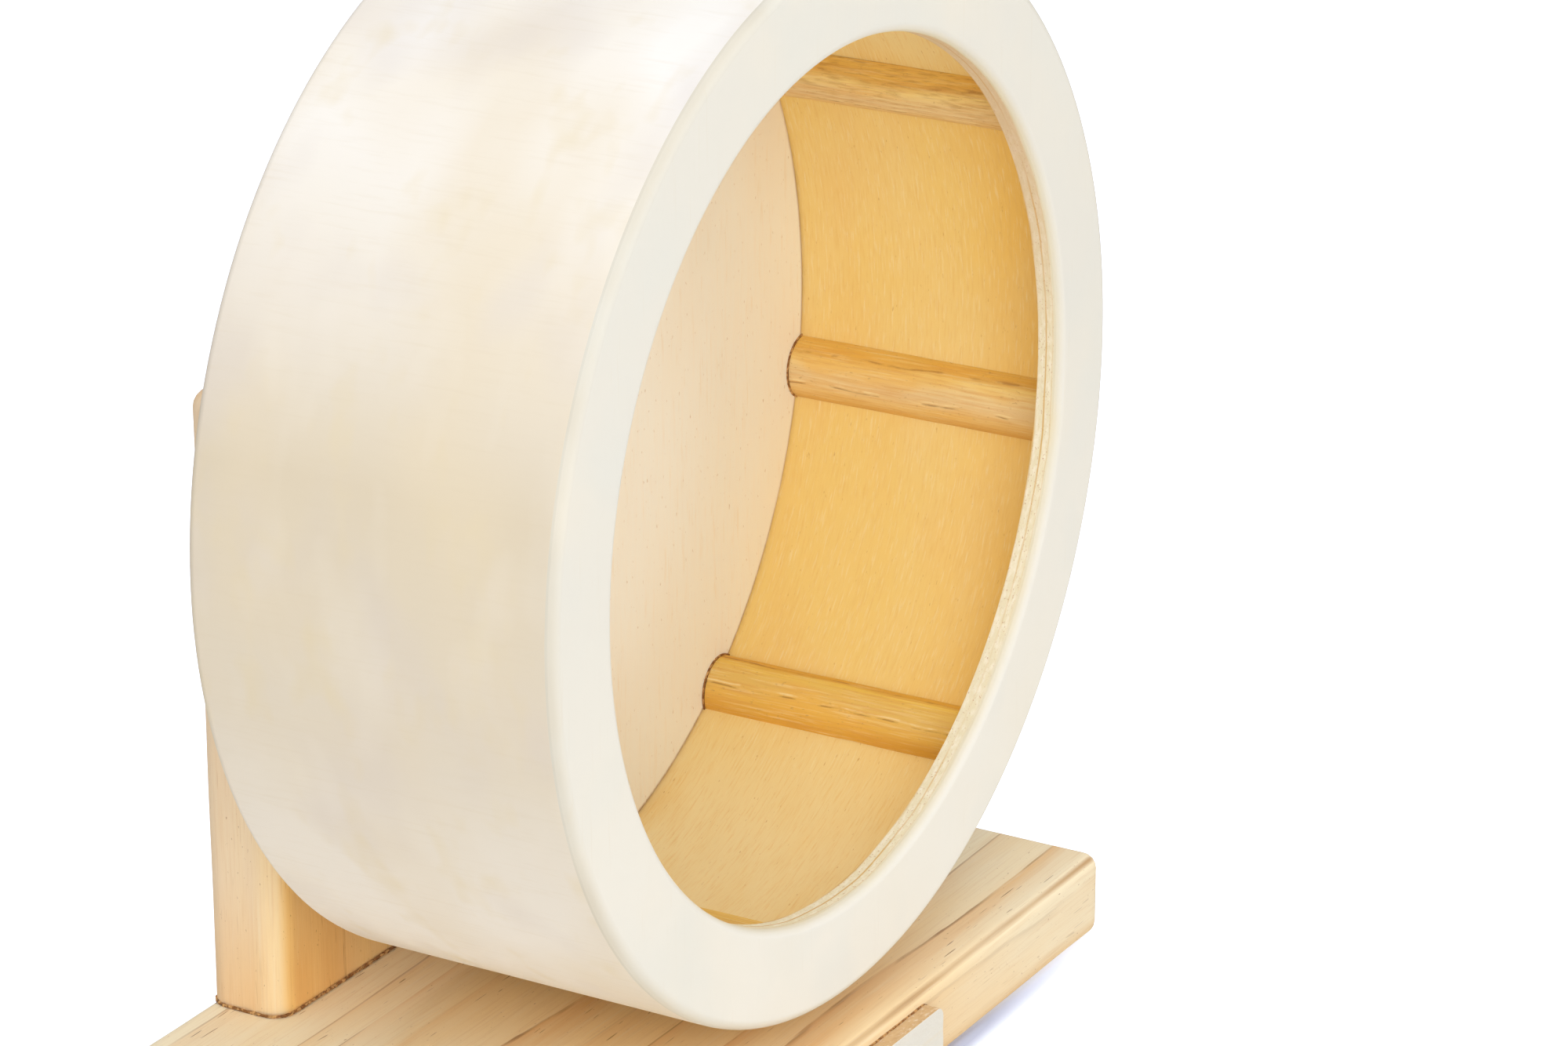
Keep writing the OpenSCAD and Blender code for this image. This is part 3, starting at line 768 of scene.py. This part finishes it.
def drill_for_screws(bm, places, aim, head, shank, depth, steps):
    """Takes the countersunk holes of screws out of a bmesh."""
    # the cutter starts outside the wood
    start = -2 * MM
    for place in places:
        carve(bm, pin([(head, start), (head, 0), (shank, head - shank), (shank, depth)], steps,
                      place, aim))


def post_screw_places(head):
    """Where the heads of the post's screws, head in radius, lie on the base's underside."""
    low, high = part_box("post_screws")
    return [Vector((side, (low.y + high.y) / 2, low.z)) for side in (low.x + head, high.x - head)]


def hub_screw_places():
    """Where the heads of the hub screws lie on the boss's rear face."""
    _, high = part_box("hub_screws")
    circle, count = 21 * MM, 3
    angles = [math.tau * number / count for number in range(count)]
    return [Vector((circle * math.sin(angle), high.y, AXLE.z - circle * math.cos(angle)))
            for angle in angles]


class WHEEL_OT_base_board(bpy.types.Operator):
    """Pine base board with rounded edges"""
    bl_idname = "wheel.base_board"
    bl_label = "Base board"

    def execute(self, context):
        sizes = context.scene.wheel_sizes
        bm = rounded_board(BASE_LOW, BASE_HIGH, sizes.base_corner, sizes.board_edge,
                           (BASE_LOW.z, BASE_HIGH.z), 5 * MM)
        hand_sand(bm, 0.25 * MM, 22 * MM, 1)
        head = 4.55 * MM
        drill_for_screws(bm, post_screw_places(head), UP, head, 2.3 * MM, 25 * MM, 48)
        to_piece("base_board_pine", bm, [base_pine], STAND, "pine", "base_board")
        return {"FINISHED"}


class WHEEL_OT_back_post(bpy.types.Operator):
    """Pine back post with the axle's bore, and the glue that shows round its foot"""
    bl_idname = "wheel.back_post"
    bl_label = "Back post"

    def execute(self, context):
        sizes = context.scene.wheel_sizes
        bm = rounded_board(POST_LOW, POST_HIGH, sizes.post_edge, sizes.post_top,
                           (POST_HIGH.z,), 5 * MM)
        hand_sand(bm, 0.25 * MM, 20 * MM, 2)
        bore = sizes.bolt_radius + BOLT_ROOM
        front = POST_LOW.y - MM
        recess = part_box("rear_post_washer")[0].y
        carve(bm, pin([(bore, front), (bore, front + 20 * MM)], 48),
              pin([(sizes.nut_recess, recess), (sizes.nut_recess, recess + 12 * MM)], 48))
        to_piece("back_post_pine", bm, [post_pine], STAND, "pine", "back_post")

        # the bead stays flush with the back of the stand
        bead = 0.8 * MM
        low = POST_LOW - Vector((bead, bead, bead))
        high = Vector((POST_HIGH.x + bead, POST_HIGH.y, POST_LOW.z + bead))
        bm = rounded_board(low, high, sizes.post_edge, 0.2 * MM, (high.z,), 0.6 * MM)
        hand_sand(bm, 1.1 * MM, 1.2 * MM, 3)
        to_piece("post_foot_glue", bm, [dried_glue], STAND, "pine")
        return {"FINISHED"}


class WHEEL_OT_label_plate(bpy.types.Operator):
    """Small bare plate on the base board's front edge, and the glue behind it"""
    bl_idname = "wheel.label_plate"
    bl_label = "Label plate"

    def execute(self, context):
        corner = context.scene.wheel_sizes.plate_corner
        bm = new_block(PLATE_LOW, PLATE_HIGH)
        round_edges(bm, corner, 5, lambda edge: runs_along(edge, Y))
        round_edges(bm, 0.25 * MM, 2, lambda edge: lies_at(edge, Y, PLATE_LOW.y))
        slice_across(bm, MM, *AXES)
        hand_sand(bm, 0.3 * MM, 2.5 * MM, 4)
        to_piece("label_plate_plywood", bm, [label_plywood], STAND, "label_plywood",
                 "label_plate")

        thin = 0.25 * MM
        low = Vector((PLATE_LOW.x + thin, PLATE_HIGH.y - thin, PLATE_LOW.z + thin))
        bm = new_block(low, PLATE_HIGH + Vector((-thin, thin, thin)))
        round_edges(bm, corner, 5, lambda edge: runs_along(edge, Y))
        slice_across(bm, MM, X, Z)
        hand_sand(bm, 0.2 * MM, 1.8 * MM, 5)
        to_piece("label_plate_glue", bm, [dried_glue], STAND, "label_plywood")
        return {"FINISHED"}


def sand_drum(bm):
    """Sands the band and the mouth ring alike, so that their joint stays flush."""
    hand_sand(bm, 0.12 * MM, 25 * MM, 6, to_axle=True)


class WHEEL_OT_rim_band(bpy.types.Operator):
    """Bent plywood band of the drum"""
    bl_idname = "wheel.rim_band"
    bl_label = "Rim band"

    def execute(self, context):
        sizes = context.scene.wheel_sizes
        outside, inside = sizes.drum_radius, sizes.drum_radius - sizes.band_wall
        bm = tube(inside, outside, BAND_LOW.y, BAND_HIGH.y, sizes.round_steps)
        round_edges(bm, sizes.lip_radius, 5, lambda edge: on_circle(edge, outside, BAND_HIGH.y))
        slice_across(bm, 6 * MM, Y)
        sand_drum(bm)
        paint_faces(bm, 1, lambda middle, normal: from_axle(middle) < (inside + outside) / 2
                    and abs(normal.y) < 0.5)
        to_piece("rim_band_plywood", bm, [whitewashed_band, bare_band], WHEEL,
                 "whitewashed_band", "rim_band")
        return {"FINISHED"}


class WHEEL_OT_front_ring(bpy.types.Operator):
    """Flat plywood ring round the mouth"""
    bl_idname = "wheel.front_ring"
    bl_label = "Front ring"

    def execute(self, context):
        sizes = context.scene.wheel_sizes
        lip = sizes.lip_radius
        outside, mouth = sizes.drum_radius, sizes.drum_radius - sizes.ring_width
        bm = tube(mouth, outside, RING_LOW.y, RING_HIGH.y, sizes.round_steps)
        for radius in (mouth, outside):
            round_edges(bm, lip, 6, lambda edge: on_circle(edge, radius, RING_LOW.y))
        slice_across(bm, 0.8 * MM, Y)
        sand_drum(bm)
        # all but the flat face
        paint_faces(bm, 1, lambda middle, normal: from_axle(middle) < mouth + lip
                    and normal.y > -0.97)
        # the cylinder outside, without its rounded edge
        paint_faces(bm, 2, lambda middle, normal: from_axle(middle) > outside - lip
                    and normal.y > -0.02)
        to_piece("front_ring_plywood", bm, [whitewashed_ring, mouth_plies, whitewashed_band],
                 WHEEL, "whitewashed_ring", "front_ring")
        return {"FINISHED"}


class WHEEL_OT_back_panel(bpy.types.Operator):
    """Plywood disc set into the back of the band"""
    bl_idname = "wheel.back_panel"
    bl_label = "Back panel"

    def execute(self, context):
        sizes = context.scene.wheel_sizes
        seat = sizes.bearing_radius + BEARING_ROOM
        front, back = PANEL_LOW.y, PANEL_HIGH.y
        web = front + BEARING_WIDTH
        bm = turned([(seat, front), (PANEL_RADIUS, front), (PANEL_RADIUS, back),
                     (sizes.web_hole, back), (sizes.web_hole, web), (seat, web)],
                    sizes.round_steps)
        round_edges(bm, 0.4 * MM, 2, lambda edge: any(
            on_circle(edge, PANEL_RADIUS, y) for y in (front, back)))
        to_piece("back_panel_plywood", bm, [bare_panel], WHEEL, "panel_plywood", "back_panel")
        return {"FINISHED"}


class WHEEL_OT_rungs(bpy.types.Operator):
    """Half-round rungs inside the band, each with a dark sleeve of glue at its back end that also
    paints the shade of the gap there
    """
    bl_idname = "wheel.rungs"
    bl_label = "Rungs"

    def execute(self, context):
        sizes = context.scene.wheel_sizes
        inside = sizes.drum_radius - sizes.band_wall
        half = sizes.rung_width / 2
        rod = (half ** 2 + sizes.rung_height ** 2) / (2 * sizes.rung_height)
        glue_gap = 0.05 * MM
        # distance of the rung's flat back from the axle
        seat = math.sqrt((inside - glue_gap) ** 2 - half ** 2)
        spacing = math.tau / len(RUNG_NAMES)
        for number, name in enumerate(RUNG_NAMES):
            low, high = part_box(name)
            middle = (low + high) / 2 - AXLE
            turn = spacing * round((math.atan2(middle.z, middle.x) + math.pi / 2) / spacing)
            spread = 0.25 * MM
            # the dark sleeve of glue at a rung's back end also stands in for the shade in the gap
            # between rung and panel
            for title, makers, start, end, radius in (
                    (name + "_wood", [bare_rung], low.y, high.y, rod),
                    (name + "_end_glue_and_shade", [dried_glue], high.y, PANEL_LOW.y, rod + spread)):
                bm = bmesh.new()
                place = AXLE + Vector((0, (start + end) / 2, sizes.rung_height - inside - rod))
                bmesh.ops.create_cone(
                    bm, cap_ends=True, segments=72, radius1=radius, radius2=radius,
                    depth=end - start,
                    matrix=Matrix.Translation(place) @ Matrix.Rotation(math.pi / 2, 4, "X"))
                cut = bmesh.ops.bisect_plane(
                    bm, geom=bm.verts[:] + bm.edges[:] + bm.faces[:],
                    plane_co=AXLE - UP * seat, plane_no=-UP, clear_outer=True)
                bmesh.ops.holes_fill(bm, edges=[item for item in cut["geom_cut"]
                                                if isinstance(item, bmesh.types.BMEdge)])
                if makers == [bare_rung]:
                    slice_across(bm, 2 * MM, Y)
                    across = bm.verts.layers.float.new("across")
                    for vertex in bm.verts:
                        vertex[across] = (vertex.co.x / half + 1) / 2
                    hand_sand(bm, 0.2 * MM, 7 * MM, 8 + number)
                bmesh.ops.rotate(bm, verts=bm.verts, cent=AXLE,
                                 matrix=Matrix.Rotation(-turn, 3, "Y"))
                to_piece(title, bm, makers, WHEEL, "rung_wood",
                         *([name] if makers == [bare_rung] else []))
        return {"FINISHED"}


class WHEEL_OT_hub(bpy.types.Operator):
    """Turned boss behind the drum and turned cap inside it"""
    bl_idname = "wheel.hub"
    bl_label = "Hub boss and cap"

    def execute(self, context):
        sizes = context.scene.wheel_sizes
        steps = sizes.round_steps // 2
        radius = (BOSS_HIGH.x - BOSS_LOW.x) / 2
        front, back = BOSS_LOW.y, BOSS_HIGH.y
        seat = sizes.bearing_radius + BEARING_ROOM
        web = front + 3 * MM
        bm = turned([(sizes.web_hole, front), (radius, front), (radius, back), (seat, back),
                     (seat, web), (sizes.web_hole, web)], steps)
        round_edges(bm, 1.2 * MM, 4, lambda edge: on_circle(edge, radius, back))
        drill_for_screws(bm, hub_screw_places(), -BACKWARDS, 3.55 * MM, 1.8 * MM, 14 * MM, 32)
        to_piece("hub_boss_beech", bm, [turned_beech], WHEEL, "beech", "hub_boss")

        radius = (CAP_HIGH.x - CAP_LOW.x) / 2
        room = 0.8 * MM
        pocket = HEAD_RADIUS + room
        bm = pin([(radius, CAP_LOW.y), (radius, CAP_HIGH.y), (pocket, CAP_HIGH.y),
                  (pocket, BOLT_LOW.y - room)], steps)
        round_edges(bm, sizes.cap_edge, 6, lambda edge: on_circle(edge, radius, CAP_LOW.y))
        to_piece("hub_cap_beech", bm, [turned_beech], WHEEL, "beech", "hub_cap")
        return {"FINISHED"}


def wood_screw(place, aim, head, shank, length):
    """A countersunk wood screw with a cross recess, from the middle of its head towards aim."""
    cone = head - shank
    sections = [(head, 0), (head, 0.15 * MM), (shank, cone), (shank, cone + 2 * MM)]
    pitch = 1.5 * MM
    along = cone + 3 * MM
    while along < length - 4 * MM:
        sections += [(shank * 0.72, along), (shank * 0.98, along + pitch / 2)]
        along += pitch
    bm = pin([*sections, (0.3 * MM, length)], 32, place, aim)
    slot = head * 0.55
    turn = UP.rotation_difference(aim).to_matrix().to_4x4()
    for angle in (0, math.pi / 2):
        cross = new_block(Vector((-slot, -0.4 * MM, -0.5 * MM)),
                          Vector((slot, 0.4 * MM, 1.2 * MM)))
        place_it = Matrix.Translation(place) @ turn @ Matrix.Rotation(angle, 4, "Z")
        bmesh.ops.transform(cross, verts=cross.verts, matrix=place_it)
        carve(bm, cross)
    return bm


def join(shapes):
    """Several bmeshes as one."""
    whole = bmesh.new()
    for shape in shapes:
        mesh = bpy.data.meshes.new("scratch")
        shape.to_mesh(mesh)
        shape.free()
        whole.from_mesh(mesh)
        bpy.data.meshes.remove(mesh)
    return whole


class WHEEL_OT_wood_screws(bpy.types.Operator):
    """Countersunk screws of the post and of the hub"""
    bl_idname = "wheel.wood_screws"
    bl_label = "Wood screws"

    def execute(self, context):
        head = 4.5 * MM
        for node, places, aim, axis, radii, body in (
                ("post_screws", post_screw_places(head), UP, Z, (head, 2.25 * MM), STAND),
                ("hub_screws", hub_screw_places(), -BACKWARDS, Y, (3.5 * MM, 1.75 * MM), WHEEL)):
            low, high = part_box(node)
            bm = join([wood_screw(place, aim, *radii, high[axis] - low[axis])
                       for place in places])
            to_piece(node + "_yellow", bm, [yellow_zinc], body, "yellow_zinc_steel", node)
        return {"FINISHED"}


class WHEEL_OT_axle(bpy.types.Operator):
    """Axle bolt with its nut, sleeve and washers"""
    bl_idname = "wheel.axle"
    bl_label = "Axle bolt, nut and washers"

    def execute(self, context):
        shank = context.scene.wheel_sizes.bolt_radius
        front, back = BOLT_LOW.y, BOLT_HIGH.y
        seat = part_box("head_washer")[0].y
        # a hexagon's corners lie this much further out than its flats
        hexagon, sides = 1 / math.cos(math.pi / 6), 6
        head, top = HEAD_RADIUS, 4 * MM
        sections = [(top, front), (head * 0.8, front + 1.1 * MM), (head * 0.95, front + 2.4 * MM),
                    (head, seat - 0.8 * MM), (head, seat), (shank, seat)]
        # the thread shows only past the nut, where it is cut as rings of its pitch
        pitch = 1.25 * MM
        along = back - 12 * MM
        while along < back - pitch:
            sections += [(shank, along), (shank * 0.88, along + pitch / 2)]
            along += pitch
        bm = pin([*sections, (shank, along), (shank, back - 0.3 * MM), (shank - 0.4 * MM, back)],
                 64)
        socket = 2.5 * MM * hexagon
        carve(bm, pin([(socket, front - MM), (socket, front + 2.6 * MM)], sides))
        to_piece("axle_bolt_steel", bm, [zinc_plate], STAND, "zinc_plated_steel", "axle_bolt")

        low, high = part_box("axle_nut")
        front, back = low.y, high.y
        flats = 6.5 * MM
        corner = flats * hexagon
        hole = shank + BOLT_ROOM
        chamfer = 0.9 * MM
        bm = pin([(corner, front), (corner, back)], sides)
        carve(bm, pin([(flats, front), (corner, front + chamfer), (corner, back - chamfer),
                       (flats, back)], 96), keep_shared=True)
        carve(bm, pin([(hole, front - MM), (hole, back - 0.4 * MM),
                       (hole + chamfer, back + 0.5 * MM)], 64))
        to_piece("axle_nut_steel", bm, [zinc_plate], STAND, "zinc_plated_steel", "axle_nut")

        for name in ("front_post_washer", "rear_post_washer", "post_sleeve"):
            low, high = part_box(name)
            radius = (high.x - low.x) / 2
            bm = tube(hole, radius, low.y, high.y, 96)
            round_edges(bm, 0.3 * MM, 3, lambda edge: any(
                on_circle(edge, radius, y) for y in (low.y, high.y)))
            to_piece(name + "_steel", bm, [zinc_plate], STAND, "zinc_plated_steel", name)
        dress_nodes(zinc_plate, "head_washer", "bearing_spacer")
        return {"FINISHED"}


class WHEEL_OT_hidden_pieces(bpy.types.Operator):
    """Finishes of the bearings and the dowels, which keep their CAD shapes"""
    bl_idname = "wheel.hidden_pieces"
    bl_label = "Bearings and dowels"

    def execute(self, context):
        dress_nodes(turned_beech, "post_dowels")
        for side in ("front", "rear"):
            dress_nodes(ground_steel, *(f"{side}_bearing_{piece}" for piece in (
                "outer_ring", "inner_ring", "balls", "front_shield", "back_shield")))
            dress_nodes(pressed_steel, f"{side}_bearing_cage")
        return {"FINISHED"}


def paper_floor():
    """White paper: a glow makes it white to the camera, but for a cool shadow close round the
    base, partly painted by where the glow is weaker.
    """
    material, add = new_finish("white_paper_floor")
    seen = add("LightPath").outputs["Is Camera Ray"]
    # the camera sees the paper bluish, which tints the painted shadow cool
    tint = add("Mix", {FACTOR: seen, UNDER: "F0ECE5", OVER: "C6D2F4"})
    paper = add("BsdfDiffuse", [tint])
    place = add("TexCoord").outputs["Object"]
    # partly painted shadow: the glow is weakest in a narrow oval along the base's front, where
    # the paper shows grey whether or not a real shadow falls, and weaker in a box round the base,
    # where the paper's real shading shows
    oval, box = [
        add("Mapping", {"Vector": place, "Location": [*(s * MM for s in middle_mm), 0],
                        "Scale": [*(s * MM for s in reach_mm), 1]}, vector_type="TEXTURE")
        for middle_mm, reach_mm in (((20, -60), (100, 6)), ((20, 10), (100, 72)))]
    away = add("VectorMath", [oval], operation="LENGTH").outputs["Value"]
    front = add("MapRange", [away, 0.25, 1.0, 0.05, 1.0])
    sides = add("VectorMath", [box], operation="ABSOLUTE")
    sides = add("SeparateXYZ", [sides]).outputs
    away = add("Math", [sides[X], sides[Y]], operation="MAXIMUM")
    round_base = add("MapRange", [away, 0.7, 1.0, 0.3, 1.0])
    white = add("Math", [front, round_base], operation="MINIMUM")
    lift = add("Math", [seen, white], operation="MULTIPLY")
    glow = add("Emission", {"Strength": lift})
    add("OutputMaterial", {"Surface": add("AddShader", [paper, glow])})
    return material


class WHEEL_OT_stage(bpy.types.Operator):
    """Pale floor, white surroundings, soft studio light and the camera"""
    bl_idname = "wheel.stage"
    bl_label = "Stage"

    def execute(self, context):
        scene = context.scene
        scene.view_settings.view_transform = "Standard"
        bm = bmesh.new()
        bmesh.ops.create_grid(bm, x_segments=1, y_segments=1, size=6)
        mesh = bpy.data.meshes.new("studio_floor")
        bm.to_mesh(mesh)
        bm.free()
        mesh.materials.append(paper_floor())
        floor = bpy.data.objects.new("studio_floor", mesh)
        scene.collection.objects.link(floor)

        scene.world = bpy.data.worlds.new("white_studio")
        add = clear_nodes(scene.world)
        path = add("LightPath").outputs
        shown = path["Is Camera Ray"]
        for ray in ("Is Glossy Ray", "Is Transmission Ray"):
            shown = add("Math", [shown, path[ray]], operation="MAXIMUM")
        strength = add("MapRange", [shown, 0, 1, 0.46, 1.0])
        white = add("Background", {"Color": "FFFFFF", "Strength": strength})
        add("OutputWorld", {"Surface": white})

        for name, place, size, power in (
                ("left_softbox", (-1.13, -0.97, 0.54), 1.2, 11.4),
                ("top_softbox", (-0.33, -0.15, 1.5), 1.2, 7.9),
                ("right_softbox", (0.8, -1.1, 0.35), 0.9, 3.8)):
            light = bpy.data.lights.new(name, "AREA")
            light.size = size
            light.energy = power
            lamp = bpy.data.objects.new(name, light)
            scene.collection.objects.link(lamp)
            lamp.location = place
            aim = AXLE - Vector(place)
            lamp.rotation_euler = aim.to_track_quat("-Z", "Y").to_euler()

        camera = bpy.data.cameras.new("photo_camera")
        camera.sensor_fit = "HORIZONTAL"
        camera.sensor_width = 36
        camera.lens = 122.13
        seat = bpy.data.objects.new("photo_camera", camera)
        scene.collection.objects.link(seat)
        seat.location = (-0.8186, -0.5120, 0.4736)
        azimuth, elevation = math.radians(-59.92), math.radians(20.60)
        seat.rotation_euler = Euler((math.pi / 2 - elevation, 0, azimuth))
        scene.camera = seat
        return {"FINISHED"}


PIECE_OPERATORS = (
    WHEEL_OT_base_board, WHEEL_OT_back_post, WHEEL_OT_label_plate, WHEEL_OT_rim_band,
    WHEEL_OT_front_ring, WHEEL_OT_back_panel, WHEEL_OT_rungs, WHEEL_OT_hub,
    WHEEL_OT_wood_screws, WHEEL_OT_axle, WHEEL_OT_hidden_pieces, WHEEL_OT_stage,
)


class WHEEL_PT_pieces(bpy.types.Panel):
    """Sizes, colours and pieces of the wheel"""
    bl_idname = "WHEEL_PT_pieces"
    bl_label = "Rodent exercise wheel"
    bl_space_type = "VIEW_3D"
    bl_region_type = "UI"
    bl_category = "Wheel"

    def draw(self, context):
        for group in (context.scene.wheel_sizes, context.scene.wheel_colours):
            for name in group.__annotations__:
                self.layout.prop(group, name)
        for operator in PIECE_OPERATORS:
            self.layout.operator(operator.bl_idname)


CLASSES = (WheelSizes, WheelColours, *PIECE_OPERATORS, WHEEL_PT_pieces)


def register():
    for cls in CLASSES:
        bpy.utils.register_class(cls)
    bpy.types.Scene.wheel_sizes = PointerProperty(type=WheelSizes)
    bpy.types.Scene.wheel_colours = PointerProperty(type=WheelColours)


def unregister():
    del bpy.types.Scene.wheel_sizes
    del bpy.types.Scene.wheel_colours
    for cls in reversed(CLASSES):
        bpy.utils.unregister_class(cls)


def main():
    register()
    for operator in PIECE_OPERATORS:
        group, name = operator.bl_idname.split(".")
        getattr(getattr(bpy.ops, group), name)()


if __name__ == "__main__":
    main()
